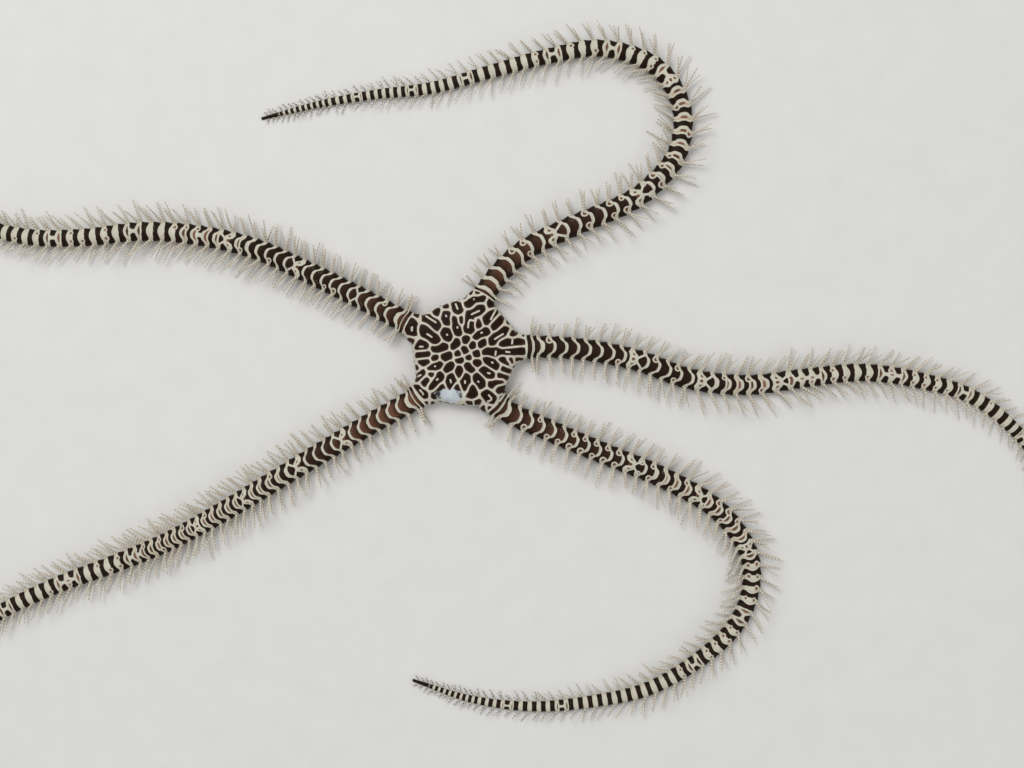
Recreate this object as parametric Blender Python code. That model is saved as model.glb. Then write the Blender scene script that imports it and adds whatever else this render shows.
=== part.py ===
"""A brittle star at life size, resting on its underside with its five long arms bent over the floor.

A domed, five-sided disc has a closed mouth beneath it. Each arm leaves a corner of the disc, is
built of ridged lengths that taper to a thin tip, and carries two rows of spines down each side.
The frame is in metres with +Z up. Its origin is the middle of the mouth, on the floor, and +X is
the way in which the arms reach furthest."""

import math
import random

import bmesh
import bpy
from mathutils import Vector

# Every size below is in millimetres, and angles are in degrees.
METRES = 0.001
GAP = 0.3

DISC_HEIGHT = 4.9
DISC_CORNER = 12.6
# From the middle out to the middle of each side, the first between arm1 and arm2.
DISC_SIDES = (11.0, 10.7, 10.1, 9.9, 10.3)
DISC_STEPS = 50
# Share of the radius and share of the height, from the flat underside up to the crown.
DISC_PROFILE = ((0.80, 0.0), (0.95, 0.12), (1.0, 0.36), (0.97, 0.66), (0.84, 0.90), (0.5, 0.99))

# Each slit between two jaws: how far out it starts and ends, and its width there.
SLIT_START, SLIT_START_WIDTH = 0.8, 0.3
SLIT_END, SLIT_END_WIDTH = 4.4, 0.55
SLIT_DEPTH = 1.1

# Where each arm's middle line runs over the floor, from the middle of the disc to its tip.
ARM_ROUTES = (
    (
        (0, 0), (11.5, 1.4), (23.1, 1.0), (34.5, -1.2), (45.4, -5.0), (56.9, -6.2), (68.4, -4.8),
        (80.0, -3.7), (91.5, -5.3), (102.5, -8.8), (111.4, -16.0), (116.5, -23.5), (119.5, -33.0),
        (119.0, -43.0), (114.5, -51.5),
    ),
    (
        (0, 0), (3.6, 11.1), (10.9, 19.9), (21.2, 25.4), (31.9, 29.9), (37.6, 33.8), (42.8, 40.4),
        (43.6, 49.5), (38.4, 57.8), (27.5, 61.4), (16.0, 59.6), (4.8, 56.6), (-6.5, 53.5),
        (-18.0, 52.2), (-29.5, 50.2), (-40.8, 47.4),
    ),
    (
        (0, 0), (-10.4, 5.7), (-20.9, 11.3), (-31.5, 16.5), (-42.4, 21.3), (-53.9, 23.9),
        (-65.0, 24.6), (-76.5, 23.4), (-88.0, 23.6), (-99.5, 27.0), (-109.0, 34.5), (-114.5, 45.5),
        (-115.5, 57.5), (-111.5, 69.0),
    ),
    (
        (0, 0), (-8.7, -8.1), (-18.8, -14.0), (-29.0, -20.0), (-39.1, -26.1), (-49.2, -32.1),
        (-59.6, -37.7), (-70.5, -42.2), (-81.6, -46.3), (-92.2, -51.3), (-102.0, -57.5),
        (-109.5, -66.0), (-113.0, -76.5), (-111.5, -87.5), (-106.0, -97.0),
    ),
    (
        (0, 0), (6.8, -10.1), (17.5, -15.5), (28.7, -20.2), (39.9, -24.8), (50.4, -30.9),
        (56.6, -38.8), (57.6, -46.5), (54.6, -54.2), (47.6, -61.0), (37.2, -67.1), (25.4, -69.8),
        (13.3, -70.8), (1.2, -69.3), (-10.4, -65.6),
    ),
)
ROUTE_STEPS = 24

STUB_START = 6.0
STUB_END = 14.0
LENGTHS_PER_ARM = 6
# Each arm's full width at these shares of its length.
ARM_WIDTHS = ((0, 4.3), (0.35, 3.9), (0.60, 3.1), (0.80, 2.2), (0.92, 1.4), (0.98, 0.75), (1, 0.5))
HEIGHT_PER_WIDTH = 0.72
RIDGES_PER_ARM = 34
RIDGE_WAIST = 0.86
RIDGE_CREST = 0.78
# Half of an arm's section, as shares of its half width and of its height, from the floor upwards.
SECTION = ((0.62, 0.0), (0.98, 0.26), (0.91, 0.62), (0.45, 0.96))

# How far the spines stand out of the arm's side at these shares of its length.
SPINE_REACHES = ((0, 2.8), (0.12, 3.4), (0.35, 4.5), (0.6, 4.0), (0.8, 2.6), (0.95, 1.6), (1, 1.2))
SPINE_THICKNESS = ((0, 0.72), (0.8, 0.66), (1, 0.4))
# Each row: its roots' place on the section, out and up, and its rise above the floor.
SPINE_ROWS = ((0.97, 0.30, 5), (0.88, 0.66, 40))
SPINE_ROOT = 0.62  # share of a ridge
SPINE_SINK = 0.55  # share of the half width
SPINE_SIDES = 3
SPINE_SWEEP, SWEEP_RANGE = 24, 7
RISE_RANGE = 4
REACH_RANGE = 0.12
SPINE_FLOOR = 0.25
SPINELESS_TIP = 2.0
SEED = 5

DISC_COLOUR, DISC_ROUGHNESS = (0.045, 0.022, 0.014), 0.55
ARM_COLOUR, ARM_ROUGHNESS = (0.06, 0.032, 0.022), 0.5


def between(stops, share):
    """The value at a share of the length, on straight lines between the stops."""
    for (low, first), (high, second) in zip(stops, stops[1:]):
        if share <= high:
            return first + (second - first) * (share - low) / (high - low)
    return stops[-1][1]


class Route:
    """A smooth line over the floor through an arm's points, measured from the disc's middle."""

    def __init__(self, points):
        points = [Vector(point) for point in points]
        ends = [2 * points[0] - points[1], *points, 2 * points[-1] - points[-2]]
        self.points = []
        for before, start, end, after in zip(ends, ends[1:], ends[2:], ends[3:]):
            for step in range(ROUTE_STEPS):
                t = step / ROUTE_STEPS
                self.points.append(
                    0.5
                    * (
                        2 * start
                        + (end - before) * t
                        + (2 * before - 5 * start + 4 * end - after) * t**2
                        + (3 * start - before - 3 * end + after) * t**3
                    )
                )
        self.points.append(points[-1])
        self.marks = [0.0]
        for first, second in zip(self.points, self.points[1:]):
            self.marks.append(self.marks[-1] + (second - first).length)
        self.length = self.marks[-1]

    def at(self, distance):
        """The point that far along, and the directions ahead and to the left there."""
        index = 0
        while index < len(self.marks) - 2 and self.marks[index + 1] < distance:
            index += 1
        span = self.marks[index + 1] - self.marks[index]
        share = (distance - self.marks[index]) / span
        point = self.points[index].lerp(self.points[index + 1], share)
        last = len(self.points) - 1
        ahead = (self.points[min(index + 2, last)] - self.points[max(index - 1, 0)]).normalized()
        return point, ahead, Vector((-ahead.y, ahead.x))


def material(name, colour, roughness):
    made = bpy.data.materials.new(name)
    made.use_nodes = True
    shader = made.node_tree.nodes["Principled BSDF"]
    shader.inputs["Base Color"].default_value = (*colour, 1.0)
    shader.inputs["Roughness"].default_value = roughness
    shader.inputs["Metallic"].default_value = 0.0
    return made


def mesh_object(name, rings, finish=None):
    """A closed solid over rings of like points, in millimetres; a ring of one point is a tip."""
    mesh = bmesh.new()
    made = [[mesh.verts.new(Vector(point) * METRES) for point in ring] for ring in rings]
    for lower, upper in zip(made, made[1:]):
        count = max(len(lower), len(upper))
        for index in range(count):
            after = (index + 1) % count
            corners = [lower[index % len(lower)], lower[after % len(lower)]]
            corners += [upper[after % len(upper)], upper[index % len(upper)]]
            mesh.faces.new(list(dict.fromkeys(corners)))
    for ring in (made[0], made[-1]):
        if len(ring) > 1:
            mesh.faces.new(ring)
    bmesh.ops.recalc_face_normals(mesh, faces=mesh.faces)
    data = bpy.data.meshes.new(name)
    mesh.to_mesh(data)
    mesh.free()
    if finish:
        data.materials.append(finish)
    made_object = bpy.data.objects.new(name, data)
    bpy.context.scene.collection.objects.link(made_object)
    return made_object


def keep_largest_body(made_object):
    """Drops every closed surface but the one with the most faces."""
    mesh = bmesh.new()
    mesh.from_mesh(made_object.data)
    unseen = set(mesh.verts)
    bodies = []
    while unseen:
        body = {unseen.pop()}
        edge = list(body)
        while edge:
            found = {other for e in edge.pop().link_edges for other in e.verts} - body
            body |= found
            edge += found
        unseen -= body
        bodies.append(body)
    largest = max(bodies, key=len)
    spare = [vert for vert in mesh.verts if vert not in largest]
    bmesh.ops.delete(mesh, geom=spare, context="VERTS")
    mesh.to_mesh(made_object.data)
    mesh.free()


def combine(body, tools, operation):
    """Joins or cuts a body with closed tools in one Boolean, then removes the tools."""
    group = bpy.data.collections.new(body.name + "_tools")
    bpy.context.scene.collection.children.link(group)
    for tool in tools:
        tool.hide_render = True
        tool.display_type = "WIRE"
        bpy.context.scene.collection.objects.unlink(tool)
        group.objects.link(tool)
    boolean = body.modifiers.new(operation.lower(), "BOOLEAN")
    boolean.operation = operation
    boolean.operand_type = "COLLECTION"
    boolean.collection = group
    boolean.solver = "EXACT"
    with bpy.context.temp_override(object=body, active_object=body):
        bpy.ops.object.modifier_apply(modifier=boolean.name)
    for tool in tools:
        data = tool.data
        bpy.data.objects.remove(tool)
        bpy.data.meshes.remove(data)
    bpy.data.collections.remove(group)
    keep_largest_body(body)


def arm_section(route, distance, scale):
    """The ring of points round an arm, flat on the floor, at a distance along its route."""
    middle, _, left = route.at(distance)
    width = between(ARM_WIDTHS, distance / route.length)
    half, height = scale * width / 2, scale * width * HEIGHT_PER_WIDTH
    right_side = [(-half * out, height * up) for out, up in SECTION]
    left_side = [(-out, up) for out, up in reversed(right_side)]
    return [(*(middle + left * out), up) for out, up in right_side + left_side]


def ridges(route, start, end):
    """The rings of a ridged length: each ridge widens away from the disc and ends in a step."""
    pitch = (route.length - STUB_END) / RIDGES_PER_ARM
    count = max(1, round((end - start) / pitch))
    pitch = (end - start) / count
    rings, roots = [], []
    for ridge in range(count):
        low = start + ridge * pitch
        rings.append(arm_section(route, low, RIDGE_WAIST))
        rings.append(arm_section(route, low + RIDGE_CREST * pitch, 1.0))
        roots.append(low + SPINE_ROOT * pitch)
    rings.append(arm_section(route, end, RIDGE_WAIST))
    return rings, roots


def spine(route, distance, side, row, draw):
    """A tapered spine whose root is sunk in the arm's side and whose point leans to the tip."""
    middle, ahead, left = route.at(distance)
    share = distance / route.length
    width = between(ARM_WIDTHS, share)
    out, up, rise = row
    rise = math.radians(rise + draw.uniform(-RISE_RANGE, RISE_RANGE))
    sweep = math.radians(SPINE_SWEEP + draw.uniform(-SWEEP_RANGE, SWEEP_RANGE))
    reach = between(SPINE_REACHES, share) * (1 + draw.uniform(-REACH_RANGE, REACH_RANGE))
    flat = left * side * math.cos(sweep) + ahead * math.sin(sweep)
    way = Vector((*(flat * math.cos(rise)), math.sin(rise)))
    on_side = middle + left * side * out * width / 2
    on_side = Vector((*on_side, up * width * HEIGHT_PER_WIDTH))
    root = on_side - way * SPINE_SINK * width / 2
    tip = on_side + way * reach
    tip.z = max(tip.z, SPINE_FLOOR)
    thickness = between(SPINE_THICKNESS, share)
    across = way.cross(Vector((0, 0, 1))).normalized()
    over = across.cross(way)
    ring = []
    for corner in range(SPINE_SIDES):
        angle = 2 * math.pi * corner / SPINE_SIDES + math.pi / 2
        ring.append(root + (across * math.cos(angle) + over * math.sin(angle)) * thickness / 2)
    lowest = min(point.z for point in ring)
    lift = Vector((0, 0, max(0.0, SPINE_FLOOR - lowest)))
    return mesh_object("spine", [[point + lift for point in ring], [tip]])


def arm_length(name, route, start, end, finish, draw):
    """One length of an arm, from start to end along its route, with its spines fused on."""
    rings, roots = ridges(route, start, end)
    body = mesh_object(name, rings, finish)
    spines = [
        spine(route, root, side, row, draw)
        for root in roots
        if root < route.length - SPINELESS_TIP
        for side in (-1, 1)
        for row in SPINE_ROWS
    ]
    combine(body, spines, "UNION")
    return body


def disc_radius(bearing, corners):
    """The disc's radius at a bearing: nearly straight sides between the arms' bearings."""
    for index, (low, high) in enumerate(zip(corners, corners[1:])):
        if low <= bearing <= high:
            half = (high - low) / 2
            swell = (1 / math.cos(bearing - low - half) - 1) / (1 / math.cos(half) - 1)
            return DISC_SIDES[index] + (DISC_CORNER - DISC_SIDES[index]) * swell
    return DISC_CORNER


def disc(routes, finish):
    """The domed disc with the roots of the arms and the closed mouth cut under it."""
    bearings = []
    for route in routes:
        corner = route.at(DISC_CORNER)[0]
        bearing = math.atan2(corner.y, corner.x)
        while bearings and bearing < bearings[-1]:
            bearing += 2 * math.pi
        bearings.append(bearing)
    corners = [*bearings, bearings[0] + 2 * math.pi]
    rings = []
    for out, up in DISC_PROFILE:
        ring = []
        for step in range(DISC_STEPS):
            bearing = bearings[0] + 2 * math.pi * step / DISC_STEPS
            radius = out * disc_radius(bearing, corners)
            place = (radius * math.cos(bearing), radius * math.sin(bearing), up * DISC_HEIGHT)
            ring.append(place)
        rings.append(ring)
    body = mesh_object("disc", [*rings, [(0, 0, DISC_HEIGHT)]], finish)
    stubs = []
    for route in routes:
        stub = [arm_section(route, STUB_START, 1.0), arm_section(route, STUB_END - GAP, 1.0)]
        stubs.append(mesh_object("stub", stub))
    combine(body, stubs, "UNION")
    slits = [mouth_slit(bearing) for bearing in bearings]
    combine(body, slits, "DIFFERENCE")
    return body


def mouth_slit(bearing):
    """A cutter for the slit between two jaws, which runs out from the mouth under an arm."""
    ahead = Vector((math.cos(bearing), math.sin(bearing)))
    left = Vector((-ahead.y, ahead.x))
    start, end = ahead * SLIT_START, ahead * SLIT_END
    start_half, end_half = left * SLIT_START_WIDTH / 2, left * SLIT_END_WIDTH / 2
    outline = (start - start_half, end - end_half, end + end_half, start + start_half)
    levels = (-SLIT_DEPTH, SLIT_DEPTH)
    return mesh_object("slit", [[(*corner, level) for corner in outline] for level in levels])


def clear_scene():
    for leftover in list(bpy.data.objects):
        bpy.data.objects.remove(leftover)


def build():
    clear_scene()
    draw = random.Random(SEED)
    disc_skin = material("disc_skin", DISC_COLOUR, DISC_ROUGHNESS)
    arm_skin = material("arm_skin", ARM_COLOUR, ARM_ROUGHNESS)
    routes = [Route(points) for points in ARM_ROUTES]
    disc(routes, disc_skin)
    for number, route in enumerate(routes, 1):
        step = (route.length - STUB_END) / LENGTHS_PER_ARM
        for index in range(LENGTHS_PER_ARM):
            start = STUB_END + index * step
            end = start + step - (GAP if index < LENGTHS_PER_ARM - 1 else 0)
            name = f"arm{number}_length{index + 1}"
            arm_length(name, route, start, end, arm_skin, draw)


build()
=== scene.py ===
"""The looks of a life-size brittle star: one marked skin, ringed spines and plain studio light."""

import math
import random
from functools import lru_cache

import bpy
import numpy as np
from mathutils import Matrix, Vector


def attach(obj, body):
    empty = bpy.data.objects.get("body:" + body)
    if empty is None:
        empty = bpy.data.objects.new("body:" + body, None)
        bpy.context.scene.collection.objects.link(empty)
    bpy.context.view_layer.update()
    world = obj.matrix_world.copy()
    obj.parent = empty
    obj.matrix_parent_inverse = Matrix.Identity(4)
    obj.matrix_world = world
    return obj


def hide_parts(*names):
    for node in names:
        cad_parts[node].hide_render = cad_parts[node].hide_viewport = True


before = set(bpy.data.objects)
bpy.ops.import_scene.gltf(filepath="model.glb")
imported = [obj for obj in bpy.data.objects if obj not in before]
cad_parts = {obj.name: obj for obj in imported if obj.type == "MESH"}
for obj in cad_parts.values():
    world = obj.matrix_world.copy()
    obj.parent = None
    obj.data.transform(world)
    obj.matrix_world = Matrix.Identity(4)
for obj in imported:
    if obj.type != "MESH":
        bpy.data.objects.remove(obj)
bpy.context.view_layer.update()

# Sizes are in millimetres and angles in degrees, unless a line says otherwise.
METRES = 0.001

DISC_HEIGHT = 4.9
DISC_CORNER = 12.6
# From the middle out to the middle of each side, the first between arm1 and arm2.
DISC_SIDES = (11.0, 10.7, 10.1, 10.2, 10.3)
# Share of the radius and share of the height, from the flat underside up to the crown.
DISC_PROFILE = (
    (0.80, 0.0), (0.95, 0.12), (1.0, 0.36), (0.97, 0.66), (0.84, 0.90), (0.5, 0.99), (0, 1.0),
)
DISC_FLAT = DISC_PROFILE[0][0] * DISC_CORNER
DISC_GRAIN = 0.17  # how far apart the skin's points lie on top
WALL_GRAIN = 0.25
MOUTH_GRAIN, UNDERSIDE_GRAIN = 0.16, 0.35
MOUTH_REACH = 5.4

# Where each arm's middle line runs over the floor, as in the solids: one place after another, each
# as x and y, in tenths of a millimetre.
TENTHS = 10
ARM_ROUTES = (
    (0, 0, 115, 14, 231, 10, 345, -12, 454, -50, 569, -62, 684, -48, 800, -37, 915, -53, 1025, -88,
     1114, -160, 1165, -235, 1195, -330, 1190, -430, 1145, -515),
    (0, 0, 36, 111, 109, 199, 212, 254, 319, 299, 376, 338, 428, 404, 436, 495, 384, 578, 275, 614, 160,
     596, 48, 566, -65, 535, -180, 522, -295, 502, -408, 474),
    (0, 0, -104, 57, -209, 113, -315, 165, -424, 213, -539, 239, -650, 246, -765, 234, -880, 236, -995,
     270, -1090, 345, -1145, 455, -1155, 575, -1115, 690),
    (0, 0, -87, -81, -188, -140, -290, -200, -391, -261, -492, -321, -596, -377, -705, -422, -816, -463,
     -922, -513, -1020, -575, -1095, -660, -1130, -765, -1115, -875, -1060, -970),
    (0, 0, 68, -101, 175, -155, 287, -202, 399, -248, 504, -309, 566, -388, 576, -465, 546, -542, 476,
     -610, 372, -671, 254, -698, 133, -708, 12, -693, -104, -656),
)
CURVE_STEPS = 24

# Each arm's full width at these shares of its length.
ARM_WIDTHS = ((0, 4.3), (0.35, 3.9), (0.60, 3.1), (0.80, 2.2), (0.92, 1.4), (0.98, 0.75), (1, 0.5))
HEIGHT_PER_WIDTH = 0.72
# How much wider and higher the arm's root is, at distances from the disc's middle.
ROOT_FLARE = ((7, 0.5), (11, 0.5), (12, 0.22), (13, 0.09), (14.5, 0))
ROOT_RISE = ((7, 0.42), (10, 0.42), (12, 0.15), (13, 0.06), (14.5, 0))
ROOT_START = 7.0
# The arm's underside is lifted off the floor inside the disc.
ROOT_LIFT = ((9, 0.8), (10.6, 0))
# Half of an arm's section, as shares of its half width and of its height, from the floor upwards.
SECTION = (
    (0, 0), (0.3, 0), (0.6, 0), (0.82, 0.07), (0.96, 0.22), (1, 0.4), (0.96, 0.58), (0.86, 0.74),
    (0.68, 0.87), (0.45, 0.955), (0.22, 0.99), (0, 1),
)
SIDE_UP = 0.4

# An arm is a row of segments, each with a plate on top that bows towards the tip. Here are the
# numbers of some segments, counted from the disc, and how far from its middle they start.
SEGMENT_STARTS = (
    ((0, 12.4), (1, 13.65), (2, 14.8), (3, 17.2), (9, 31.4), (15, 45.6), (21, 60.6), (23, 66.5),
     (26, 72.9), (33, 89.2), (43, 112.6)),
    ((0, 12.5), (1, 13.2), (2, 15.4), (3, 17.8), (7, 28.1), (14, 46.9), (20, 63.4), (24, 74.3),
     (26, 79.8), (37, 106.5), (42, 117.8), (45, 124.2), (50, 132.9), (60, 148.6)),
    ((0, 12.8), (1, 13.85), (2, 14.3), (3, 16.5), (6, 23.0), (13, 37.0), (19, 49.6)),
    ((0, 12.3), (1, 13.3), (2, 13.9), (3, 16.2), (8, 27.1), (13, 37.4), (18, 48.4), (25, 61.4),
     (32, 73.5), (35, 79.0), (39, 87.8), (44, 98.4)),
    ((0, 11.8), (1, 12.8), (2, 13.7), (3, 16.6), (12, 38.5), (18, 53.2), (24, 68.0), (26, 72.3),
     (30, 81.6), (37, 97.8), (45, 114.5), (51, 126.2), (58, 139.0), (61, 143.7)),
)
INNER_SEGMENTS = 3
PITCH, TIP_PITCH, PITCH_SHARE = 2.32, 1.0, 0.55
# How far a plate's edge runs ahead of its ends, in segments: on the first ones of any arm, and at
# distances along each arm.
FIRST_BOWS = ((-1, 0), (0, 0.1), (1, 0.3), (2, 0.45), (3, 0.58), (4, 1))
BOWS = (
    ((16, 0.46), (58, 0.42), (63, 0.34), (69, 0.24), (98, 0.22), (106, 0.05)),
    ((24, 0.26), (32, 0.33), (56, 0.34), (64, 0.28), (76, 0.26), (82, 0.18), (104, 0.14), (112, 0.06)),
    ((14, 0.56), (40, 0.54), (58, 0.4), (66, 0.2), (100, 0.1), (120, 0.05)),
    ((40, 0.48), (50, 0.58), (62, 0.54), (75, 0.45), (80, 0.22), (92, 0.06)),
    ((14, 0.36), (24, 0.43), (50, 0.46), (68, 0.48), (73, 0.26), (84, 0.2), (98, 0.18), (106, 0.05)),
)
# Where across the arm an edge has fallen back to its ends, and how round it is on the way there.
BOW_END, BOW_POWER, BAND_POWER = 0.72, 3.2, 1.5
BAND_EASE = (-6, 4)  # the roundness changes over this stretch round the start of the bands
# Where pale lenses start to show on the plates, and where dark and pale bands take over.
LENS_STARTS = (48, 52, 45, 40, 44)
BAND_STARTS = (66, 78, 60, 78, 72.2)
LENS_FADE, BAND_FADES = 4, (10, 35)
# How much of a segment is pale in its middle and at its sides, from before the lenses to the tip.
PALE_MIDDLES = (0, 0.38, 0.45, 0.44, 0.38, 0.22)
PALE_SIDES = (0.17, 0.17, 0.16, 0.18, 0.28, 0.2)
PALE_RANGE = 0.06
# Across each segment: place, rise of the plate on top and swell of the side that bears spines.
SEGMENT_ROWS = (
    (0, 0, 0.6), (0.06, 0.35, 0.3), (0.3, 0.7, 0), (0.6, 0.9, 0.6), (0.82, 1, 1),
    (0.96, 0.75, 0.8),
)
ROOT_ROWS, ROOT_FINENESS = 12, 3
PLATE_RISE, SIDE_SWELL = 0.055, 0.13
BELLY_GROOVE, GROOVE_FALL = 0.14, 1.6
# Places across the arm: where its sides start and end, and where it counts as underneath.
SIDE_START, SIDE_END, UNDER_START = (0.6, 0.95), (1.1, 1.6), (1.05, 1.45)
UNDER_LEVELS = (0.2, 0.9)  # the disc's skin lower than this counts as underneath

# The segments with a pale knot, those with a leaf-shaped plate beyond it, and those whose dark
# band is split by a pale line down the middle, with how far apart the splits are further out.
KNOTS = ((9, 15, 21), (7, 14, 24), (12, 19), (8, 13, 19, 25), (12, 18, 24))
LEAVES = ((10, 16, 22), (8, 15), (6, 13, 20), (9, 14, 20, 26), (13, 19, 25))
SPLITS = ((23, 24, 25, 31, 32, 38), (25, 30, 35, 43, 49), (22, 28), (33, 34, 40, 41), (31, 37, 51))
SPLIT_SPACINGS = (6, 7, 8)
KNOT_PALE = 0.56
# How likely a ringed spot is at each spine root: before a distance along each arm, and beyond it.
SPOTS = ((0.1, 36, 0.5), (0.25, 34, 0.65), (0.2, 30, 0.35), (0.1, 41, 0.35), (0.25, 21, 0.9))
LENS_SPOTS = 0.5  # how much rarer they are on plates with a lens
SPOTS_START, SPOTS_END = 3, 0.64  # the first segment, and the share of the arm's length
MARKS = ("middle", "sides", "knot", "leaf", "split", "oval", "dot", "banded", "spots")
# How warm the brown of each arm's plates is next to the disc and further out, and where it fades.
ROOT_WARMTH, FAR_WARMTH = (0.12, 0.65, 0.55, 1.3, 0.5), 0.06
WARMTH_ENDS = (34, 52, 34, 42, 50)

# The net on the disc, in dark cells: the ends and bends of each cell's middle line, listed one
# by one, in tenths of a millimetre.
NET_CELLS = (
    (2, 7, 4, 4), (-11, 0, -11, -1), (9, -7, 9, -8), (18, 17, 18, 15), (-9, -13, -4, -13),
    (-20, 15, -14, 22), (7, -22, 15, -31), (5, 29, 5, 27), (25, 1, 25, 0), (25, -18, 30, -20),
    (-9, -30, -9, -38), (35, 18, 39, 22), (-38, -7, -29, -3), (-32, -30, -24, -24), (26, 35, 44, 45),
    (44, 4, 114, 3), (26, -46, 36, -61), (38, -31, 56, -43), (46, -13, 66, -25), (-58, 8, -36, 14),
    (-59, -8, -56, -8), (-36, 45, -30, 30), (56, 24, 83, 48), (29, 58, 29, 57), (-17, 67, -9, 43),
    (-65, -29, -48, -21), (-27, -63, -24, -46), (3, -66, 6, -46), (-4, 70, -4, 64),
    (-14, -70, -12, -73), (16, -71, 17, -83), (-65, -42, -65, -41), (78, 19, 117, 28),
    (61, 55, 78, 70), (35, 91, 13, 79, 6, 71, 6, 48, 15, 46, 16, 60), (56, -61, 76, -56),
    (79, -30, 94, -35), (78, -11, 89, -20), (46, 64, 60, 83), (-77, 48, -55, 25), (-91, 14, -77, 14),
    (-89, -3, -70, -1), (-87, -18, -73, -16), (-62, -64, -47, -44), (-36, 80, -33, 63),
    (46, -79, 58, -94), (73, -44, 88, -49), (93, -13, 96, -18), (-93, -48, -81, -39),
    (-78, -58, -72, -51), (-19, 100, -9, 83), (12, 98, 19, 111, 35, 109), (-53, 87, -53, 84),
    (-37, 97, -36, 95), (-94, -25, -94, -26), (-58, -84, -42, -69), (13, -101, 26, -99),
    (71, -68, 81, -66), (101, -26, 104, -24), (-80, 77, -52, 55), (-107, 25, -106, 22),
    (-92, -68, -77, -86), (107, -13, 114, -13), (99, 40, 105, 45), (88, 67, 90, 65), (54, 101, 55, 97),
    (-103, 65, -104, 42), (-103, -78, -88, -97), (64, -111, 81, -93),
)
# Pale marks inside the cells, written likewise.
NET_MARKS = (
    (35, 41, 37, 42), (-12, 53, -12, 51), (-33, 38, -32, 37), (3, -54, 3, -58),
    (9, 52, 10, 62, 13, 67, 22, 65), (-57, -25, -56, -25), (-26, -52, -25, -57), (29, -55, 30, -56),
    (50, -82, 55, -88, 54, -92, 48, -95), (48, -38, 52, -39), (56, -17, 58, -18), (64, 5, 63, -3),
    (-53, -52, -51, -50), (62, 29, 78, 39), (-72, 39, -63, 33), (84, 4, 91, 3), (16, 78, 31, 85),
    (-35, 76, -34, 74), (-87, 14, -81, 14), (19, -92, 20, -102), (54, 68, 64, 88),
    (-91, -45, -85, -42), (97, 28, 96, 20), (-16, 99, -12, 89), (20, 108, 21, 109), (-75, 75, -55, 62),
    (-87, -72, -80, -81), (-103, 53, -103, 46),
)
# Rings of further cells down the disc's side wall: how far out, and how far apart.
MARGIN_RINGS = ((1.3, 1.5), (3.1, 1.8))
RIM_STOP = 3  # the point of the disc's profile where its side wall starts
MARGIN_LENGTH, MARGIN_SHIFT, MARGIN_TURN = 0.5, 0.25, 0.2
MARGIN_ARM_REACH, MARGIN_ARM_GAP = 20.0, 2.6  # no such cells are near the arms' first stretch
NET_SOFT = 0.28  # how round the corners between cells are
NET_SWELL, NET_SWELL_START, NET_SWELL_END = 0.06, 4.5, 11.0  # the lines widen outwards
NET_REACH = 17.0
FAR = 9.0

MOUTH_RADIUS, MOUTH_DEPTH = 0.9, 1.1
SLIT_END, SLIT_HALF, SLIT_FLARE, SLIT_EDGE = 4.4, 0.17, 0.03, (0.6, 1.7)
SHIELD_PLACE, SHIELD_RADIUS = 5.6, 1.25
GROOVE_DEPTH, GROOVE_HALF = 0.13, 0.16
BURSA_START, BURSA_END, BURSA_OUT = 6.2, 9.4, 2.55
BURSA_HALF, BURSA_DEPTH = GROOVE_HALF * 1.6, GROOVE_DEPTH * 2
TAPER, SLIT_TAPER, RELIEF_TAPER = 0.5, 0.4, 1.3  # how softly slits, mouth and all relief end

# The skin is softened round the seam between arms and disc, apart from what lies on the floor.
SEAM_CORE, SEAM_REACH, SEAM_ROUNDS, SEAM_SOFTNESS = 0.33, 1.1, 14, 0.5
SEAM_STRIDE, BATCH = 3, 4000
SEAM_LOWEST = 0.05

# The unwrap, in millimetres of skin: a square with each arm in two strips, and the disc beside.
UNWRAP_SIDE = 118.0
STRIP_HEIGHTS, STRIP_FILL = (12.0, 9.0), 0.98
DISC_PATCH, DISC_PATCH_MIDDLE = 33.0, 100.5

# How far the spines stand out of the arm's side at these shares of its length.
SPINE_REACHES = ((0, 2.9), (0.12, 3.6), (0.35, 4.6), (0.6, 4.0), (0.8, 2.8), (0.95, 1.7), (1, 1.2))
# Each row of spines: its roots' place on the section, out and up, its rise and its lean forward,
# and the share of the arm's length where the row ends.
SPINE_ROWS = ((0.97, 0.28, 5, -5, 1.0), (0.99, 0.48, 22, 8, 1.0), (0.90, 0.68, 38, 0, 0.72))
SPINE_LEANS = ((0, 5), (0.15, 9), (0.3, 18), (0.42, 34), (0.8, 38), (1, 45))
SPINE_TOP = 4.9  # no spine rises above it
RISE_RANGE, LEAN_RANGE, REACH_RANGE, BEND_RANGE = 6, 13, 0.18, 0.18
SPINE_PLACE = 0.96  # within a segment
SPINE_ROOT_RADIUS, SPINE_TIP_RADIUS = 0.215, 0.1
SPINE_SIDES = 6
SPINE_THICKNESS = ((0, 1), (0.45, 0.92), (0.8, 0.6), (1, 0.4))
BEAD_SPACING = 0.62
# Along a spine: each stop's place, its thickness and how cream it is. The root's place is in
# millimetres, and the others are in beads, from each bead's own start or from the tip.
ROOT_STOPS, TIP_STOP = ((-0.45, 0.9, 0.7), (0.0, 1.0, 0.7)), (0.3, 0.2, 1.0)
BEAD_STOPS = ((0.3, 0.8, 0.0), (0.8, 1.35, 1.0))
SPINE_FLOOR, SPINE_CLEARANCE = 0.28, 1.05  # how high the tip lies, at least, and in radii
SPINE_PATCH = 0.003  # of the unwrap's side
SEED = 11

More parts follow.
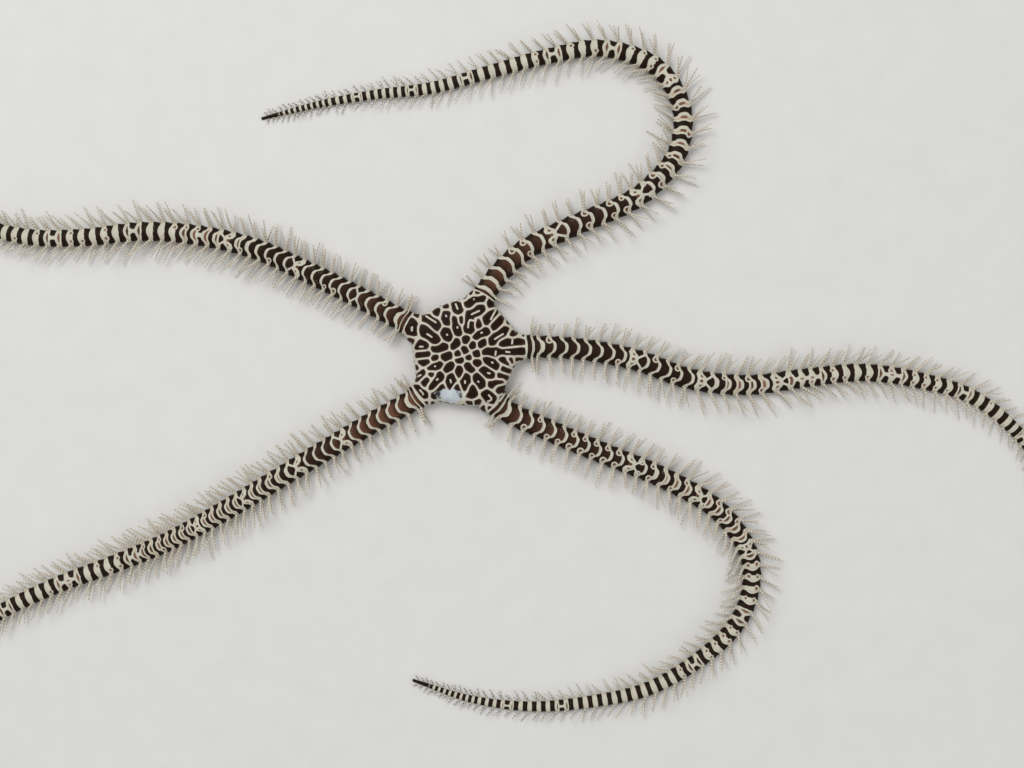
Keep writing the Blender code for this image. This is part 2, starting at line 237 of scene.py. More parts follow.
CREAM = (0.62, 0.585, 0.475)
NEAR_BLACK = (0.0135, 0.0052, 0.0012)
RED_BROWN = (0.052, 0.019, 0.011)
WARM_BROWN = (0.15, 0.062, 0.034)
PINK_BROWN = (0.22, 0.11, 0.07)
TAN = (0.54, 0.41, 0.29)
SIDE_TAN = (0.58, 0.49, 0.37)
BELLIES = ((0.50, 0.41, 0.30), (0.36, 0.2952, 0.216))
SCAR = (0.62, 0.68, 0.72)
SHAFTS, FAR_SHAFT = ((0.45, 0.38, 0.28), (0.58, 0.51, 0.40)), (0.16, 0.12, 0.085)
BEAD_CREAM = (0.82, 0.76, 0.65)
FLOOR_COLOURS = ((0.74, 0.73, 0.70), (0.80, 0.79, 0.765))

# The arms' markings, in shares of a segment's length and of the arm's half width. A pair is where
# a soft step starts and ends, or the least and the most of a range.
WARM_ALONG, WARM_ACROSS, WARM_CHANCES = (-0.1, 1.0), (0.4, 0.85), (0.65, 1.35)
LENS_TAPER, BAND_TAPER, LENS_EDGE = (0.4, 0.95), 1.15, 0.02
WEDGE_END, WEDGE_HALF, WEDGE_DEPTH = 23.0, (0.08, 0.34), 0.28
CORE_LENGTH, CORE_HALF, CORE_EDGE, OVAL_GAIN = 0.36, 0.46, (0.65, 1.05), 0.35
TAN_SIDES, RIM_EDGE, RIM_SIZES = (0.6, 0.85), (0.05, 0.085), (0.06, 0.12)
SPOT_PLACE, SPOT_BOW, SPOT_OUTS = 0.78, 0.38, (0.62, 0.5)  # outs on plates and on bands
SPOT_SIZES, SPOT_RING, SPOT_CORE = (0.75, 1.1), (0.5, 0.6), (0.24, 0.36)
KNOT_PLACE, KNOT_OUTS, KNOT_SPOT = 0.7, (0.0, 0.52), (0.25, 0.4)
LEAF_POINT, LEAF_WIDTH, LEAF_POWER, LEAF_EDGE = 0.1, 0.6, 0.9, (0.1, 0.17)
BLOT_GAP, BLOT_FLARE, BLOT_EDGE = 0.2, 0.18, 0.05
DOT_LENGTH, DOT_EDGE = 0.45, (0.16, 0.3)
LINE_HALF, LINE_EDGE, LINE_SWELL = 0.116, 0.022, 0.06
FIRST_LINE_GAIN, SECOND_LINE_GAIN, LINE_END_GAIN, LINE_ENDS = 0.05, 0.04, 0.03, (0.7, 1.0)
DARK_TIP = (0.974, 0.98)  # in shares of the arm's length

# The disc's markings, and the finish of the skin, the spines and the floor.
CELL_RIM, NET_EDGE, MARK_EDGE = (0.18, 0.55), (0.10, 0.19), (0.13, 0.22)
SCAR_PLACE, SCAR_SIZE = (-2.8, -8.45, 4.2), (2.6, 1.45, 3)
SCAR_EDGE, SCAR_LUMPS, SCAR_FRAY, SCAR_COVER = (0.65, 1.15), 1.0, 2.0, 0.9
FINE_LUMPS, WOBBLE, ARM_WOBBLE = 0.5, 0.08, 0.6
BELLY_LUMPS, BELLY_EDGE, BELLY_COVER = 1.6, (0.35, 0.7), 0.86
BROAD_LUMPS, SHADE_RANGE = 3.0, 0.3
RELIEF, GRAIN_SIZE, GRAIN_DEPTH, LUMP_SIZE, LUMP_DEPTH = 0.5, 0.16, 0.03, 0.9, 0.09
FAR_SHAFT_EDGE, SPINE_ROOT_EDGE, BEAD_EDGE = (0.7, 0.95), (0.05, 0.3), (0.35, 0.95)
FLOOR_LUMPS, FLOOR_HALF, FLOOR_DROP = 6.0, 3000.0, 0.02

# The camera looks straight down at what the photograph frames.
VIEW_MIDDLE = (9.6, -6.0)
VIEW_WIDTH, VIEW_LEVEL = 204.8, 2.0
LENS, SENSOR, CLIP_METRES = 50.0, 36.0, (0.01, 20.0)


def between(stops, share):
    """The values at shares of a length, on straight lines between the stops."""
    places, values = zip(*stops)
    return np.interp(share, places, values)


def smooth(value, low, high):
    """A soft step from 0 to 1."""
    share = np.clip((value - low) / (high - low), 0, 1)
    return share * share * (3 - 2 * share)


def fade(value, low, high):
    """A soft step from 1 to 0."""
    return 1 - smooth(value, low, high)


def smooth_line(points, steps):
    """Many points on the smooth curve through a few."""
    points = np.array(points, float)
    ends = np.vstack([2 * points[0] - points[1], points, 2 * points[-1] - points[-2]])
    t = (np.arange(steps) / steps)[:, None]
    spans = []
    for before, start, end, after in zip(ends, ends[1:], ends[2:], ends[3:]):
        square = 2 * before - 5 * start + 4 * end - after
        cube = 3 * start - before - 3 * end + after
        spans.append((2 * start + (end - before) * t + square * t**2 + cube * t**3) / 2)
    return np.vstack([*spans, points[-1:]])


def marks_along(points):
    """How far along a line each of its points lies."""
    return np.concatenate([[0], np.cumsum(np.linalg.norm(np.diff(points, axis=0), axis=1))])


class Arm:
    """An arm's route over the floor, its size and its segments."""

    def __init__(self, index, points):
        self.index = index
        self.points = smooth_line(np.reshape(points, (-1, 2)) / TENTHS, CURVE_STEPS)
        self.marks = marks_along(self.points)
        self.length = self.marks[-1]
        ahead = np.gradient(self.points, axis=0)
        self.aheads = ahead / np.linalg.norm(ahead, axis=1, keepdims=True)
        numbers, places = zip(*SEGMENT_STARTS[index])
        starts = [places[0] + PITCH * inner for inner in range(-INNER_SEGMENTS, 0)]
        starts += np.interp(range(numbers[-1] + 1), numbers, places).tolist()
        while starts[-1] < self.length - TIP_PITCH / 2:
            share = max(0.0, (starts[-1] / self.length - PITCH_SHARE) / (1 - PITCH_SHARE))
            starts.append(starts[-1] + PITCH + (TIP_PITCH - PITCH) * share)
        starts[-1] = self.length
        self.starts = np.array(starts)
        self.numbers = np.arange(len(starts)) - INNER_SEGMENTS

    def at(self, distance):
        """The places on the route that far along, and the directions ahead and left there."""
        place, ahead = (
            np.stack([np.interp(distance, self.marks, axis) for axis in values.T], -1)
            for values in (self.points, self.aheads)
        )
        ahead /= np.linalg.norm(ahead, axis=-1, keepdims=True)
        return place, ahead, np.stack([-ahead[..., 1], ahead[..., 0]], -1)

    def distance(self, number):
        """How far along the route a segment starts, or a place within a segment lies."""
        return np.interp(number, self.numbers, self.starts)

    def half(self, distance):
        width = between(ARM_WIDTHS, distance / self.length)
        return width / 2 * (1 + between(ROOT_FLARE, distance))

    def height(self, distance):
        width = between(ARM_WIDTHS, distance / self.length)
        return width * HEIGHT_PER_WIDTH * (1 + between(ROOT_RISE, distance))

    def bearing(self):
        corner = self.at(DISC_CORNER)[0]
        return math.atan2(corner[1], corner[0])

    def unwrap(self, distance, over, outer):
        """The place on the unwrap of a point that far along, and over from the top in half widths."""
        height = STRIP_HEIGHTS[outer]
        along = distance - (self.distance(self.split_number()) if outer else ROOT_START)
        middle = STRIP_HEIGHTS[0] * len(ARM_ROUTES) * outer + height * (self.index + 0.5)
        edge = STRIP_FILL * height / 2
        across = np.clip(over * self.half(distance), -edge, edge)
        return np.stack([along, middle + across], -1) / UNWRAP_SIDE

    def split_number(self):
        """The segment where the arm's outer strip starts on the unwrap."""
        return int(self.numbers[np.searchsorted(self.starts, (self.length + ROOT_START) / 2)])


def full_section(steps):
    """The whole ring of section points: out, up, how far across, and place along the girth.

    It starts and ends under the middle. Across is 0 on top, 1 at the side and 2 underneath."""
    half = np.clip(smooth_line(SECTION, steps), 0, 1)
    ring = np.vstack([half, half[-2::-1] * (-1, 1)])
    out, up = ring.T
    across = np.where(up >= SIDE_UP, np.abs(out), 2 - np.abs(out))
    across *= np.where(np.arange(len(out)) < len(half), 1, -1)
    return out, up, across, marks_along(ring * (1, 2 * HEIGHT_PER_WIDTH))


FINE_SECTION, COARSE_SECTION = full_section(ROOT_FINENESS), full_section(1)
GIRTH = COARSE_SECTION[-1][-1]


def bow(across, power):
    """The share of its bow by which a plate's edge runs ahead, at places across the arm."""
    return 1 - np.minimum(np.abs(across) / BOW_END, 1) ** power


@lru_cache
def band(low, high):
    """Faces between two rings of so many points, each corner as its ring, 0 or 1, and its number."""
    if low == high:
        return [((0, at), (0, at + 1), (1, at + 1), (1, at)) for at in range(low)]
    faces, at_low, at_high = [], 0, 0
    while at_low < low or at_high < high:
        if (at_high + 1) / high <= (at_low + 1) / low or at_low == low:
            faces.append(((0, at_low), (1, at_high + 1), (1, at_high)))
            at_high += 1
        else:
            faces.append(((0, at_low), (0, at_low + 1), (1, at_high)))
            at_low += 1
    return faces


def closed_surface(rings):
    """A closed surface over rings of points: its points, its faces, and the values at its corners.

    A ring's values are single numbers, or have one entry more than its points, for where it closes.
    Where the unwrap jumps at a ring, "beneath" is its unwrap for the faces before it."""
    counts = np.array([len(points) for points, _ in rings])
    starts = np.concatenate([[0], np.cumsum(counts)])
    faces = [[(0, at, 0) for at in range(counts[0])][::-1]]
    faces.append([(len(rings) - 1, at, 0) for at in range(counts[-1])])
    for order, (low, high) in enumerate(zip(counts, counts[1:])):
        faces += [[(order + upper, at, upper) for upper, at in face] for face in band(low, high)]
    ring, at, upper = np.array([corner for face in faces for corner in face]).T
    own = starts[ring] + ring + at
    values = {}
    for name in rings[0][1]:
        each = [(part[name], len(points) + 1) for points, part in rings]
        each = [np.resize(value, (count, *np.shape(value)[1:])) for value, count in each]
        values[name] = np.concatenate(each)[own]
    beneath = np.concatenate([part.get("beneath", part["OFBake"]) for _, part in rings])[own]
    values["OFBake"] = np.where(upper[:, None] == 1, beneath, values["OFBake"])
    ends = np.cumsum([len(face) for face in faces])
    vertices = [face.tolist() for face in np.split(starts[ring] + at % counts[ring], ends[:-1])]
    return np.concatenate([points for points, _ in rings]), vertices, values


def gather(parts):
    """Several surfaces as one: vertices, faces and corner values."""
    points, faces, corners, count = [], [], {}, 0
    for part_points, part_faces, part_corners in parts:
        points.append(part_points)
        faces += [[index + count for index in face] for face in part_faces]
        count += len(part_points)
        for name, value in part_corners.items():
            corners.setdefault(name, []).append(value)
    joined = {name: np.concatenate(values) for name, values in corners.items()}
    return np.concatenate(points), faces, joined


def link(name, data):
    """A new object in the scene."""
    made = bpy.data.objects.new(name, data)
    bpy.context.scene.collection.objects.link(made)
    return made


def make_object(name, surface, finish):
    """A mesh object with smooth faces; the corner values become attributes and the unwrap."""
    points, faces, corners = surface
    mesh = bpy.data.meshes.new(name)
    mesh.from_pydata((points * METRES).tolist(), [], faces)
    for value_name, value in corners.items():
        if value_name == "OFBake":
            layer = mesh.uv_layers.new(name=value_name)
            layer.data.foreach_set("uv", value.astype(np.float32).ravel())
        else:
            attribute = mesh.attributes.new(value_name, "FLOAT", "CORNER")
            attribute.data.foreach_set("value", value.astype(np.float32))
    mesh.shade_smooth()
    mesh.materials.append(finish)
    return link(name, mesh)


def read_all(items, name, width=1, kind=np.int32):
    """One property of all of a mesh's vertices, edges, faces or corners."""
    values = np.empty(len(items) * width, kind)
    items.foreach_get(name, values)
    return values if width == 1 else values.reshape(-1, width)


def segment_marks(arm):
    """The marks on an arm's segments, each an array in the order of the arm's numbers."""
    draw = random.Random(SEED + arm.index)
    splits = list(SPLITS[arm.index])
    while splits[-1] < arm.numbers[-1] - 2 * max(SPLIT_SPACINGS):
        splits.append(splits[-1] + draw.choice(SPLIT_SPACINGS))
    marks = {name: np.zeros(len(arm.numbers)) for name in MARKS}
    for name, chosen in (("knot", KNOTS[arm.index]), ("leaf", LEAVES[arm.index]), ("split", splits)):
        marks[name][np.array(chosen) + INNER_SEGMENTS] = 1
    after = np.roll(marks["split"], -1)
    marks["oval"], marks["dot"] = np.abs(marks["split"] - after), marks["split"] * after
    lens, bands = LENS_STARTS[arm.index], BAND_STARTS[arm.index]
    fades = [bands + fade for fade in BAND_FADES]
    stops = (lens - LENS_FADE, lens + LENS_FADE, bands, *fades, arm.length)
    marks["sides"] = np.interp(arm.starts, stops, PALE_SIDES)
    middle = np.interp(arm.starts, stops, PALE_MIDDLES)
    chances = np.array([draw.uniform(-0.5, 0.5) for _ in arm.starts])
    middle += PALE_RANGE * chances * (middle > 0)
    marks["middle"] = np.where(marks["knot"] > 0, KNOT_PALE, middle)
    marks["banded"] = np.where(arm.starts > bands - 1, 1.0, 0.0)
    before, end, beyond = SPOTS[arm.index]
    marks["spots"] = np.where(arm.starts < end, before, beyond)
    marks["spots"][(arm.starts > lens) & (arm.starts < bands)] *= LENS_SPOTS
    marks["spots"] *= (arm.starts < SPOTS_END * arm.length) & (arm.numbers >= SPOTS_START)
    return marks


def arm_ring(arm, net, marks, number, rise, swell):
    """A ring of points round an arm at a place among its segments, and the values there."""
    out, up, across, girth = FINE_SECTION if number < 0 else COARSE_SECTION
    start, bands = arm.distance(number), BAND_STARTS[arm.index]
    reach = min(between(BOWS[arm.index], start), between(FIRST_BOWS, number))
    bandlike = smooth(start - bands, *BAND_EASE)
    power = BOW_POWER + (BAND_POWER - BOW_POWER) * bandlike
    bowed = number + bow(across, power) * reach
    distance = arm.distance(bowed)
    place, _, left = arm.at(distance)
    half, height = arm.half(distance), arm.height(distance)
    on_side = smooth(np.abs(across), *SIDE_START) * fade(np.abs(across), *SIDE_END)
    aside = out * half * (1 + SIDE_SWELL * swell * on_side)
    groove = BELLY_GROOVE * max(0.0, 1 - GROOVE_FALL * rise) * half / (ARM_WIDTHS[0][1] / 2)
    level = np.where(up == 0, groove, up * height * (1 + PLATE_RISE * rise))
    level = np.maximum(level, between(ROOT_LIFT, distance))
    points = np.concatenate([place + left * aside[:, None], level[:, None]], -1)
    line, mark = net(points[:, :2])
    near = fade(distance, SEGMENT_STARTS[arm.index][2][1], WARMTH_ENDS[arm.index])
    over, outer = girth - girth[-1] / 2, bool(number >= arm.split_number())
    values = {
        "along": number, "bowed": bowed, "reach": reach, "across": across, "net": line, "mark": mark,
        "share": distance / arm.length, "arm": arm.index, "OFBake": arm.unwrap(distance, over, outer),
        "warmth": FAR_WARMTH + (ROOT_WARMTH[arm.index] - FAR_WARMTH) * near,
        "under": smooth(np.abs(across), *UNDER_START),
    }
    segment = math.floor(number + 1e-6) + INNER_SEGMENTS
    values |= {name: numbers[segment] for name, numbers in marks.items()}
    if number == arm.split_number():
        values["beneath"] = arm.unwrap(distance, over, False)
    return points[:-1], values


def arm_surface(arm, net):
    """One arm's skin: plates on top that overlap towards the tip, and grooved plates beneath."""
    inside = round(ROOT_ROWS * np.interp(ROOT_START, arm.starts, arm.numbers))
    rows = [(number / ROOT_ROWS, 0, 0) for number in range(inside, 0)]
    for number in range(arm.numbers[-1]):
        rows += [(number + place, rise, swell) for place, rise, swell in SEGMENT_ROWS]
    rows.append((arm.numbers[-1], 0, 0))
    marks = segment_marks(arm)
    return closed_surface([arm_ring(arm, net, marks, *row) for row in rows])


def disc_radius(bearing, corners):
    """The disc's radius at bearings: nearly straight sides between the arms' bearings."""
    radius = np.zeros(bearing.shape)
    for side, low, high in zip(DISC_SIDES, corners, corners[1:]):
        half = (high - low) / 2
        swell = (1 / np.cos(bearing - low - half) - 1) / (1 / math.cos(half) - 1)
        inside = (bearing >= low) & (bearing <= high)
        radius = np.where(inside, side + (DISC_CORNER - side) * swell, radius)
    return radius


def line_distance(places, line):
    """How far places lie from a line with straight pieces between its points."""
    points = np.reshape(line, (-1, 2))
    nearest = np.inf
    for start, end in zip(points, points[1:]):
        way = end - start
        share = np.clip((places - start) @ way / max(float(way @ way), 1e-9), 0, 1)
        away = np.linalg.norm(places - start - share[..., None] * way, axis=-1)
        nearest = np.minimum(nearest, away)
    return nearest


def margin_cells(arms, corners):
    """Cells down the disc's side wall, outside those that are listed."""
    draw = random.Random(SEED)
    cells = []
    for out, gap in MARGIN_RINGS:
        count = round(2 * math.pi * (DISC_CORNER + out) / gap)
        for index in range(count):
            turned = index + draw.uniform(-MARGIN_TURN, MARGIN_TURN) + 0.5
            bearing = corners[0] + 2 * math.pi * turned / count
            bearing = min(max(bearing, corners[0]), corners[-1])
            away = float(disc_radius(np.array(bearing), corners)) + out
            away += draw.uniform(-MARGIN_SHIFT, MARGIN_SHIFT)
            way = np.array([math.cos(bearing), math.sin(bearing)])
            stretches = [(0, 0, *arm.at(MARGIN_ARM_REACH)[0]) for arm in arms]
            if min(line_distance(way * away, stretch) for stretch in stretches) > MARGIN_ARM_GAP:
                cells.append(np.outer((away - MARGIN_LENGTH, away + MARGIN_LENGTH), way))
    return cells


def net_reader(cells, marks):
    """A function that tells how far places are from the net's lines and from the pale marks."""

    def read(places):
        flat = places.reshape(-1, 2)
        line, mark = np.full(len(flat), FAR), np.full(len(flat), FAR)
        near = np.linalg.norm(flat, axis=1) < NET_REACH
        chosen = flat[near]
        if len(chosen):
            nearest = np.sort([line_distance(chosen, cell) for cell in cells], axis=0)[:3]
            first, second = (nearest[1] - nearest[0]) / 2, (nearest[2] - nearest[0]) / 2
            blend = np.clip(0.5 + 0.5 * (second - first) / NET_SOFT, 0, 1)
            soft = NET_SOFT * blend * (1 - blend)
            swell = smooth(np.linalg.norm(chosen, axis=1), NET_SWELL_START, NET_SWELL_END)
            line[near] = second * (1 - blend) + first * blend - soft - NET_SWELL * swell
            mark[near] = np.min([line_distance(chosen, ends) for ends in marks], axis=0)
        return line.reshape(places.shape[:-1]), mark.reshape(places.shape[:-1])

    return read


def belly_relief(places, arms):
    """How deep the mouth, its slits and the grooves round the plates under the disc are."""
    away = np.linalg.norm(places, axis=-1)
    depth = MOUTH_DEPTH * fade(away, MOUTH_RADIUS / 2, MOUTH_RADIUS)
    bearings = [arm.bearing() for arm in arms]
    for bearing in bearings:
        ahead = places @ (math.cos(bearing), math.sin(bearing))
        aside = np.abs(places @ (-math.sin(bearing), math.cos(bearing)))
        half = SLIT_HALF + SLIT_FLARE * np.maximum(ahead, 0)
        slit = fade(aside / half, *SLIT_EDGE) * smooth(ahead, 0, TAPER)
        slit *= fade(ahead, SLIT_END - SLIT_TAPER, SLIT_END)
        bursa = fade(np.abs(aside - BURSA_OUT), 0, BURSA_HALF)
        bursa *= smooth(ahead, BURSA_START - TAPER, BURSA_START)
        bursa *= fade(ahead, BURSA_END - TAPER, BURSA_END)
        depth = np.maximum(depth, np.maximum(MOUTH_DEPTH * slit, BURSA_DEPTH * bursa))
    for bearing, after in zip(bearings, bearings[1:] + bearings[:1]):
        turn = (after - bearing) % (2 * math.pi) / 2
        middle = SHIELD_PLACE * np.array([math.cos(bearing + turn), math.sin(bearing + turn)])
        rim = np.abs(np.linalg.norm(places - middle, axis=-1) - SHIELD_RADIUS)
        depth = np.maximum(depth, GROOVE_DEPTH * fade(rim, 0, GROOVE_HALF))
    return depth


def disc_ring(arms, corners, net, out, up, wall, grain):
    """A ring of points round the disc, that far out and up, and the values there.

    Wall is how far down the side it lies, measured along the skin from the rim of the top."""
    count = max(6, round(2 * math.pi * out / grain))
    bearing = np.linspace(corners[0], corners[-1], count + 1)
    way = np.stack([np.cos(bearing), np.sin(bearing)], -1)
    radius = disc_radius(bearing, corners)[:, None]
    place = way * radius * out / DISC_CORNER
    level = np.full(count + 1, up)
    if up == 0:
        level = belly_relief(place, arms) * fade(out, DISC_FLAT - RELIEF_TAPER, DISC_FLAT)
    unwrapped = place
    if wall > 0:
        unwrapped = way * (radius * DISC_PROFILE[RIM_STOP][0] + wall)
    line, mark = net(unwrapped)
    low = np.array((DISC_PATCH_MIDDLE, DISC_PATCH / 2))
    values = dict.fromkeys(("bowed", "reach", "across", "share", "arm", "warmth", *MARKS), 0.0)
    values |= {"along": -1.0, "under": fade(up, *UNDER_LEVELS), "net": line, "mark": mark}
    values["OFBake"] = (place + low) / UNWRAP_SIDE
    if max(up, wall) > 0:
        values["OFBake"] = (unwrapped + low + (0, DISC_PATCH)) / UNWRAP_SIDE
    return np.concatenate([place, level[:, None]], -1)[:-1], values


def disc_surface(arms, corners, net):
    """The domed disc's skin, in rings from the middle of the underside round to the crown."""
    profile = smooth_line(np.array(DISC_PROFILE) * (DISC_CORNER, DISC_HEIGHT), CURVE_STEPS)
    marks = marks_along(profile)
    rim = marks[RIM_STOP * CURVE_STEPS]
    rings = [(out, 0, 0, MOUTH_GRAIN) for out in np.arange(MOUTH_GRAIN, MOUTH_REACH, MOUTH_GRAIN)]
    rings += [(out, 0, 0, UNDERSIDE_GRAIN) for out in np.arange(MOUTH_REACH, DISC_FLAT, UNDERSIDE_GRAIN)]
    stops = (*np.arange(0, rim, WALL_GRAIN), *np.arange(rim, marks[-1], DISC_GRAIN))
    for stop in stops:
        out, up = (float(np.interp(stop, marks, profile[:, axis])) for axis in (0, 1))
        rings.append((out, up, max(0.0, rim - stop), DISC_GRAIN))
    made = [disc_ring(arms, corners, net, *ring) for ring in rings]
    points, values = made[-len(stops)]
    joint = points[[*range(len(points)), 0], :2] + (DISC_PATCH_MIDDLE, DISC_PATCH / 2)
    values["beneath"] = joint / UNWRAP_SIDE
    return closed_surface(made)


def seam_smoothed(skin, seam):
    """Softens the surface near where the arms leave the disc."""
    mesh = skin.data
    count = len(mesh.vertices)
    place = read_all(mesh.vertices, "co", 3, np.float32).astype(float)
    edges = read_all(mesh.edges, "vertices", 2)
    near = np.empty(count)
    for index in np.array_split(np.arange(count), max(1, count // BATCH)):
        gaps = np.linalg.norm(place[index][:, None] - place[seam][None, ::SEAM_STRIDE], axis=-1)
        near[index] = gaps.min(axis=1)
    weight = fade(near / METRES, SEAM_CORE, SEAM_REACH) * SEAM_SOFTNESS
    weight[place[:, 2] < SEAM_LOWEST * METRES] = 0
    degree = np.bincount(edges.ravel(), minlength=count)
    for _ in range(SEAM_ROUNDS):
        total = np.zeros_like(place)
        for axis in range(3):
            for one, other in (edges.T, edges.T[::-1]):
                total[:, axis] += np.bincount(one, place[other, axis], count)
        place += weight[:, None] * (total / np.maximum(degree, 1)[:, None] - place)
    place[:, 2] = np.maximum(place[:, 2], 0)
    mesh.vertices.foreach_set("co", place.astype(np.float32).ravel())
    mesh.update()


def make_skin(arms, finish):
    """The disc and the arms as one skin."""
    bearings = np.unwrap([arm.bearing() for arm in arms]).tolist()
    corners = [*bearings, bearings[0] + 2 * math.pi]
    cells, marks = ([np.divide(line, TENTHS) for line in lines] for lines in (NET_CELLS, NET_MARKS))
    net = net_reader(cells + margin_cells(arms, corners), marks)
    skin = make_object("skin", disc_surface(arms, corners, net), finish)
    roots = make_object("roots", gather([arm_surface(arm, net) for arm in arms]), finish)
    join = skin.modifiers.new("join", "BOOLEAN")
    join.operation, join.solver, join.object = "UNION", "MANIFOLD", roots
    with bpy.context.temp_override(object=skin, active_object=skin):
        bpy.ops.object.modifier_apply(modifier=join.name)
    bpy.data.objects.remove(roots)
    on_arm = read_all(skin.data.attributes["share"].data, "value", kind=np.float32) > 0
    vertex = read_all(skin.data.loops, "vertex_index")
    seam_smoothed(skin, np.intersect1d(vertex[on_arm], vertex[~on_arm]))
    skin.data.shade_smooth()
    return skin


def bead_stops(reach):
    """The places, thicknesses and creaminess of a spine's stops, from its root to its tip."""
    beads = max(3, round(reach / BEAD_SPACING))
    stops = [(place / reach, *rest) for place, *rest in ROOT_STOPS]
    for bead in range(beads):
        stops += [((bead + place) / beads, *rest) for place, *rest in BEAD_STOPS]
    stops.append((1 + TIP_STOP[0] / beads, *TIP_STOP[1:]))
    return np.array(stops).T


def spine_surface(arm, distance, side, row, draw):
    """One ringed spine, sunk in the arm's side and bent a little."""
    out, up, rise, lean, _ = row
    share = distance / arm.length
    lean += between(SPINE_LEANS, share) + draw.uniform(-LEAN_RANGE, LEAN_RANGE)
    reach = between(SPINE_REACHES, share) * (1 + draw.uniform(-REACH_RANGE, REACH_RANGE))
    bend = Vector([draw.uniform(-BEND_RANGE, BEND_RANGE) for _ in range(3)])
    bend.z = -abs(bend.z)
    middle, ahead, left = (Vector((*part, 0)) for part in arm.at(distance))
    root = middle + left * side * out * arm.half(distance)
    root.z = up * arm.height(distance)
    steepest = math.asin(min(1.0, (SPINE_TOP - root.z) / reach))
    rise = min(math.radians(rise + draw.uniform(-RISE_RANGE, RISE_RANGE)), steepest)
    lean = math.radians(lean)
    flat = left * side * math.cos(lean) + ahead * math.sin(lean)
    way = flat * math.cos(rise) + Vector((0, 0, math.sin(rise)))
    places, swells, beaded = bead_stops(reach)
    outside = np.clip(places, 0, 1)
    radius = SPINE_ROOT_RADIUS + (SPINE_TIP_RADIUS - SPINE_ROOT_RADIUS) * outside
    radius *= swells * between(SPINE_THICKNESS, share)
    line = np.array(root) + np.outer(places * reach, way)
    line += np.outer(outside**2 * reach / 2, bend)
    lowest = np.maximum(SPINE_FLOOR * outside, SPINE_CLEARANCE * radius)
    line[:, 2] = np.maximum(line[:, 2], lowest)
    over = way.orthogonal().normalized()
    across = way.cross(over)
    turn = 2 * np.pi * np.arange(SPINE_SIDES) / SPINE_SIDES
    ring = np.outer(np.cos(turn), over) + np.outer(np.sin(turn), across)
    points = line[:, None, :] + radius[:, None, None] * ring
    top = len(SECTION)
    girth = np.interp(up, COARSE_SECTION[1][:top], COARSE_SECTION[3][:top])
    outer = bool(distance >= arm.distance(arm.split_number()))
    middle_of_patch = arm.unwrap(distance, side * (girth - GIRTH / 2), outer)
    columns = np.arange(SPINE_SIDES + 1) / SPINE_SIDES - 0.5
    chance = draw.random()
    rings = []
    for ring_points, place, bead in zip(points, outside, beaded):
        patch = np.stack([columns, np.full(SPINE_SIDES + 1, place - 0.5)], -1)
        values = {"bead": bead, "reach": place, "chance": chance, "share": share}
        values["OFBake"] = middle_of_patch + patch * SPINE_PATCH
        rings.append((ring_points, values))
    return closed_surface(rings)


def make_spines(arm, finish):
    """All the spines of one arm, in fans along both of its sides."""
    draw = random.Random(SEED * 10 + arm.index)
    parts = []
    for number in arm.numbers[INNER_SEGMENTS:-2]:
        distance = float(arm.distance(number + SPINE_PLACE))
        for side in (-1, 1):
            for row in SPINE_ROWS:
                if distance / arm.length < row[-1]:
                    parts.append(spine_surface(arm, distance, side, row, draw))
    return make_object(f"arm{arm.index + 1}_spines", gather(parts), finish)


def operator(operation):
    """A method of Value that makes a node of that kind."""
    return lambda value, *others: value.nodes.math(operation, value, *others)


class Value:
    """A number that a material works out at each point, for use in plain arithmetic."""

    def __init__(self, nodes, socket):
        self.nodes, self.socket = nodes, socket

    __abs__ = operator("ABSOLUTE")
    __add__ = operator("ADD")
    __sub__ = operator("SUBTRACT")
    __mul__ = operator("MULTIPLY")
    __truediv__ = operator("DIVIDE")
    __lt__ = operator("LESS_THAN")
    __gt__ = operator("GREATER_THAN")

    def __rsub__(self, other):
        return self.nodes.math("SUBTRACT", other, self)


